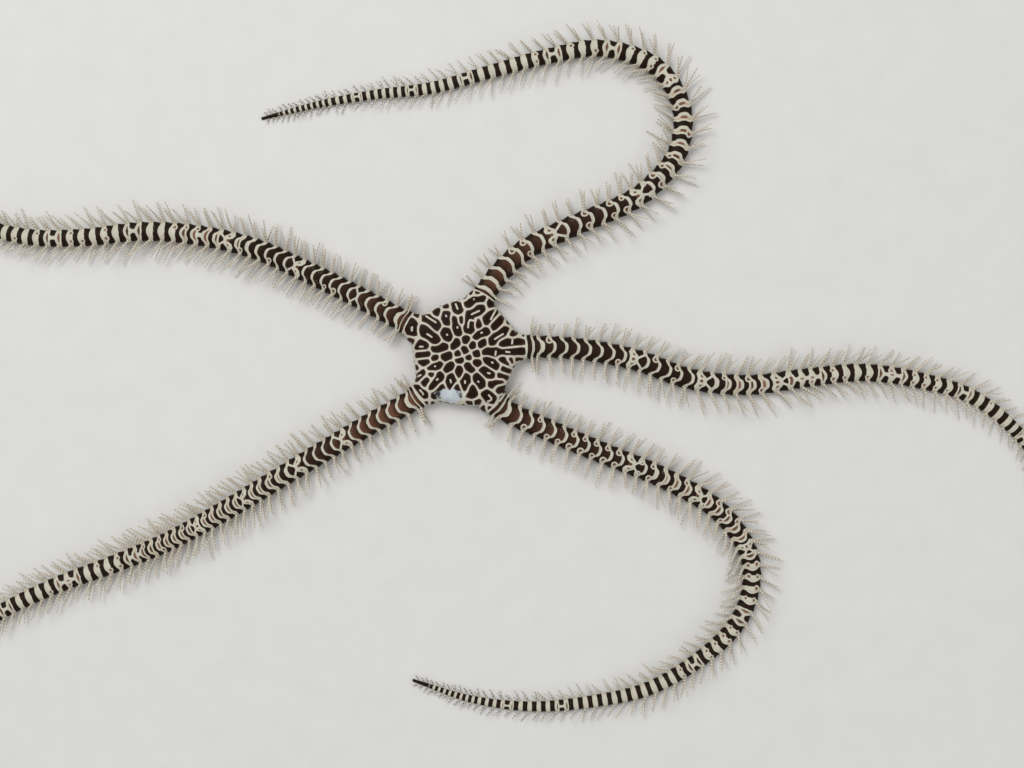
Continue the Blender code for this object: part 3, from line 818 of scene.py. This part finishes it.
class Nodes:
    """Adds nodes to a material. Inputs are values, sockets, plain numbers or colours."""

    def __init__(self, name):
        self.material = bpy.data.materials.new(name)
        self.material.use_nodes = True
        self.tree = self.material.node_tree

    def fill(self, node, inputs):
        """Sets a node's inputs, by name or number."""
        for key, value in dict(inputs).items():
            socket, value = node.inputs[key], getattr(value, "socket", value)
            if isinstance(value, bpy.types.NodeSocket):
                self.tree.links.new(value, socket)
            elif hasattr(socket.default_value, "__len__") and len(value) < len(socket.default_value):
                socket.default_value = (*value, 1.0)
            else:
                socket.default_value = value

    def finish(self, inputs):
        """Sets the shader's inputs and returns the material."""
        self.fill(self.tree.nodes["Principled BSDF"], inputs)
        return self.material

    def add(self, kind, inputs=(), **settings):
        """The outputs of a new node."""
        node = self.tree.nodes.new(kind)
        for key, value in settings.items():
            setattr(node, key, value)
        self.fill(node, inputs)
        return node.outputs

    def number(self, kind, output, inputs=(), **settings):
        """A number that a new node works out."""
        return Value(self, self.add(kind, inputs, **settings)[output])

    def math(self, operation, *values):
        return self.number("ShaderNodeMath", 0, enumerate(values), operation=operation)

    def length(self, ahead, aside):
        return self.math("SQRT", ahead * ahead + aside * aside)

    def value(self, name):
        return self.number("ShaderNodeAttribute", "Fac", attribute_name=name)

    def chance(self, number):
        """A number from 0 to 1, drawn for each number."""
        return self.number("ShaderNodeTexWhiteNoise", "Value", {"W": number}, noise_dimensions="1D")

    def step(self, value, low, high):
        """A soft step from 0 to 1."""
        inputs = {"Value": value, "From Min": low, "From Max": high}
        return self.number("ShaderNodeMapRange", 0, inputs, interpolation_type="SMOOTHSTEP")

    def fade(self, value, low, high):
        """A soft step from 1 to 0."""
        return 1.0 - self.step(value, low, high)

    def mix(self, share, first, second):
        """A mix of two colours."""
        return self.add("ShaderNodeMix", {0: share, 6: first, 7: second}, data_type="RGBA")[2]

    def blend(self, share, first, second):
        """A mix of two numbers."""
        return self.number("ShaderNodeMix", 0, {0: share, 2: first, 3: second}, data_type="FLOAT")

    def paint(self, share, colour):
        """Lays a colour over the colour so far."""
        self.colour = self.mix(share, self.colour, colour)

    def vector(self, operation, *values):
        return self.add("ShaderNodeVectorMath", enumerate(values), operation=operation)["Vector"]

    def place(self):
        return self.add("ShaderNodeTexCoord")["Object"]

    def noise(self, size, detail=2.0):
        """Smooth noise whose lumps are about that many millimetres across."""
        inputs = {"Vector": self.place(), "Scale": 1 / (size * METRES), "Detail": detail}
        return self.number("ShaderNodeTexNoise", "Fac", inputs)

    def bump(self, height, depth, **others):
        """Relief that many millimetres deep."""
        inputs = {"Strength": RELIEF, "Distance": depth * METRES, "Height": height, **others}
        return self.add("ShaderNodeBump", inputs)["Normal"]


def spot_distance(n, bowed, side, place, out, length=1.0):
    """How far, in millimetres near the disc, a point is from a spot on its segment."""
    return n.length((bowed - place) * (PITCH * length), (side - out) * (ARM_WIDTHS[0][1] / 2))


def arm_markings(n, wobble):
    """The colour of an arm's skin: dark plates edged in cream, which turn to bands far out."""
    along, across, reach, banded = map(n.value, ("along", "across", "reach", "banded"))
    middle, knot, oval = map(n.value, ("middle", "knot", "oval"))
    side = n.math("MINIMUM", abs(across), 1.0)
    within, whole = n.math("FRACT", along), n.math("FLOOR", along)
    bowed = n.value("bowed") - whole
    segment = n.value("arm") * 100.0 + whole
    chance, other_chance = n.chance(segment), n.chance(segment + 0.5)

    # The dark plate, warmer towards its edge and its middle.
    warm = n.step(within, *WARM_ALONG) * n.fade(side, *WARM_ACROSS) * n.value("warmth")
    n.colour = n.mix(warm * n.blend(other_chance, *WARM_CHANCES), NEAR_BLACK, WARM_BROWN)

    # The pale lens before its edge, with a brown core, and past it the spines' roots. The lenses
    # of the knots near the disc have a dark wedge, except on the first arm.
    inwards = n.blend(banded, n.step(side, *LENS_TAPER), side * BAND_TAPER)
    wedge = knot * (along < WEDGE_END) * (n.value("arm") > 0.5) * n.fade(side, *WEDGE_HALF)
    size = n.blend(inwards, middle, n.value("sides")) - wedge * WEDGE_DEPTH
    into = within + size - 1.0 + wobble
    lens = into / n.math("MAXIMUM", size, 0.05)
    core = n.length((lens - 0.5) / CORE_LENGTH, side / CORE_HALF) * (1.0 - oval * OVAL_GAIN)
    core = n.fade(core, *CORE_EDGE) * (1.0 - n.math("MAXIMUM", knot, banded * (1.0 - oval)))
    fill = n.mix(n.math("MAXIMUM", banded, knot), TAN, CREAM)
    fill = n.mix(core, fill, n.mix(chance, PINK_BROWN, RED_BROWN))
    fill = n.mix(n.step(side, *TAN_SIDES), fill, SIDE_TAN)
    pale = n.step(into, -LENS_EDGE, LENS_EDGE)
    n.paint(pale, fill)
    n.paint(n.fade(abs(into), *RIM_EDGE) * n.step(size, *RIM_SIZES), CREAM)

    # A brown spot ringed in cream by some spine roots, and three in a row across each knot.
    lens_middle = 1.0 - middle * 0.5
    place = n.blend(banded, SPOT_PLACE, lens_middle) + reach * SPOT_BOW
    from_spot = spot_distance(n, bowed, side, place, n.blend(banded, *SPOT_OUTS))
    drawn = n.chance(n.math("SIGN", across) * 0.3 + segment)
    drawn = drawn / n.math("MAXIMUM", n.value("spots"), 0.01)
    from_spot = from_spot * n.blend(drawn, *SPOT_SIZES)
    spotted = (drawn < 1.0) * (1.0 - knot) * (1.0 - banded * oval)
    n.paint(spotted * n.fade(from_spot, *SPOT_RING), CREAM)
    spot = n.mix(banded, WARM_BROWN, PINK_BROWN)
    n.paint(spotted * n.fade(from_spot, *SPOT_CORE), spot)
    from_knot = [spot_distance(n, bowed, side, reach + KNOT_PLACE, out) for out in KNOT_OUTS]
    on_knot = n.fade(n.math("MINIMUM", *from_knot), *KNOT_SPOT)
    n.paint(knot * on_knot, WARM_BROWN)

    # The plate after a knot is a leaf with its point at the knot, and has dark lobes beside it.
    widened = n.math("MAXIMUM", (bowed - reach) / (1.0 - reach), 0.0)
    edge = n.math("POWER", widened, LEAF_POWER) * LEAF_WIDTH + LEAF_POINT
    n.paint(n.value("leaf") * n.fade(abs(side - edge), *LEAF_EDGE), CREAM)

    # Far out a pale line down the middle splits some dark bands in two.
    level = within / (1.0 - middle) * 2.0 - 1.0
    gap = level * level * BLOT_FLARE + BLOT_GAP
    between_blots = n.fade(side - gap, -BLOT_EDGE, BLOT_EDGE)
    n.paint(n.value("split") * between_blots * (1.0 - pale), CREAM)
    from_middle = spot_distance(n, bowed, side, lens_middle + reach, 0.0, DOT_LENGTH)
    n.paint(n.value("dot") * n.fade(from_middle, *DOT_EDGE), PINK_BROWN)

    # The cream line along each plate's edge, heavier next to the disc and at the spines' roots.
    half = n.step(side, *LINE_ENDS) * LINE_END_GAIN + LINE_HALF
    half = half + (along < 1.5) * FIRST_LINE_GAIN
    half = half + n.math("COMPARE", along, 2.0, 0.5) * SECOND_LINE_GAIN
    half = half + side * (1.0 - side) * LINE_SWELL
    edge = n.math("PINGPONG", along, 0.5) + wobble
    n.paint(n.fade(edge - half, -LINE_EDGE, LINE_EDGE), CREAM)
    n.paint(n.step(n.value("share"), *DARK_TIP), NEAR_BLACK)
    return n.colour


def disc_markings(n, wobble):
    """The colour of the disc: near-black cells in a cream net, with pale marks in some."""
    line, mark = n.value("net") + wobble, n.value("mark") + wobble
    cell = n.mix(n.step(line, *CELL_RIM), RED_BROWN, NEAR_BLACK)
    colour = n.mix(n.step(line, *NET_EDGE) * n.step(mark, *MARK_EDGE), CREAM, cell)
    offset = n.vector("SUBTRACT", n.place(), [part * METRES for part in SCAR_PLACE])
    scaled = n.vector("DIVIDE", offset, [part * METRES for part in SCAR_SIZE])
    away = n.number("ShaderNodeVectorMath", "Value", {0: scaled}, operation="LENGTH")
    away = away + (n.noise(SCAR_LUMPS) - 0.5) * SCAR_FRAY
    return n.mix(n.fade(away, *SCAR_EDGE) * SCAR_COVER, colour, SCAR)


def skin_finish():
    """Fine-grained skin with its markings above and pale plates below."""
    n = Nodes("skin")
    fine = n.noise(FINE_LUMPS)
    wobble = (fine - 0.5) * WOBBLE
    on_arm = n.value("along") > -0.08
    colour = n.mix(on_arm, disc_markings(n, wobble), arm_markings(n, wobble * ARM_WOBBLE))
    belly = n.mix(n.step(n.noise(BELLY_LUMPS), *BELLY_EDGE), *BELLIES)
    colour = n.mix(n.value("under") * BELLY_COVER, colour, belly)
    shade = (n.noise(BROAD_LUMPS, 3.0) - 0.5) * SHADE_RANGE + 1.0
    tinted = n.add("ShaderNodeHueSaturation", {"Color": colour, "Value": shade})["Color"]
    scale = {"Vector": n.place(), "Scale": 1 / (GRAIN_SIZE * METRES)}
    grain = n.bump(n.number("ShaderNodeTexVoronoi", "Distance", scale, feature="F1"), GRAIN_DEPTH)
    inputs = {
        "Base Color": tinted,
        "Roughness": fine * 0.25 + 0.42,
        "Specular IOR Level": 0.12,
        "Normal": n.bump(n.noise(LUMP_SIZE, 3.0), LUMP_DEPTH, Normal=grain),
    }
    return n.finish(inputs)


def spine_finish():
    """Glassy grey-brown spines with cream rings and pale roots."""
    n = Nodes("spines")
    shaft = n.mix(n.value("chance"), *SHAFTS)
    shaft = n.mix(n.step(n.value("share"), *FAR_SHAFT_EDGE), shaft, FAR_SHAFT)
    shaft = n.mix(n.fade(n.value("reach"), *SPINE_ROOT_EDGE), shaft, SIDE_TAN)
    colour = n.mix(n.step(n.value("bead"), *BEAD_EDGE), shaft, BEAD_CREAM)
    return n.finish({"Base Color": colour, "Roughness": 0.38})


def make_floor():
    n = Nodes("floor")
    colour = n.mix(n.noise(FLOOR_LUMPS, 4.0), *FLOOR_COLOURS)
    finish = n.finish({"Base Color": colour, "Roughness": 0.85})
    corners = np.array([(-1.0, -1, 0), (1, -1, 0), (1, 1, 0), (-1, 1, 0)]) * FLOOR_HALF
    floor = make_object("floor", (corners, [[0, 1, 2, 3]], {}), finish)
    floor.location.z = -FLOOR_DROP * METRES


def add_light(name, place, size, power):
    """A soft square light that faces the disc."""
    data = bpy.data.lights.new(name, "AREA")
    data.shape, data.size, data.energy = "SQUARE", size, power
    light = link(name, data)
    light.location = place
    light.rotation_euler = (-Vector(place)).to_track_quat("-Z", "Y").to_euler()


def light_scene():
    """A broad soft key, a weaker fill and a pale surround, in metres and watts."""
    add_light("key", (-0.35, 0.40, 0.75), 0.5, 4.6)
    add_light("fill", (0.6, -0.3, 0.6), 0.8, 1.8)
    world = bpy.data.worlds.new("surround")
    world.use_nodes = True
    inputs = world.node_tree.nodes["Background"].inputs
    inputs["Color"].default_value = (0.95, 0.97, 1.0, 1.0)
    inputs["Strength"].default_value = 0.4
    bpy.context.scene.world = world


def add_camera():
    data = bpy.data.cameras.new("camera")
    data.lens, data.sensor_width = LENS, SENSOR
    data.clip_start, data.clip_end = CLIP_METRES
    camera = link("camera", data)
    away = VIEW_WIDTH * LENS / SENSOR
    camera.location = Vector((*VIEW_MIDDLE, away + VIEW_LEVEL)) * METRES
    bpy.context.scene.camera = camera


arms = [Arm(index, points) for index, points in enumerate(ARM_ROUTES)]
skin = make_skin(arms, skin_finish())
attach(skin, "root")
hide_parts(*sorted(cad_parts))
spine_material = spine_finish()
for arm in arms:
    spines = make_spines(arm, spine_material)
    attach(spines, "root")
make_floor()
light_scene()
add_camera()
bpy.context.scene.view_settings.view_transform = "Standard"
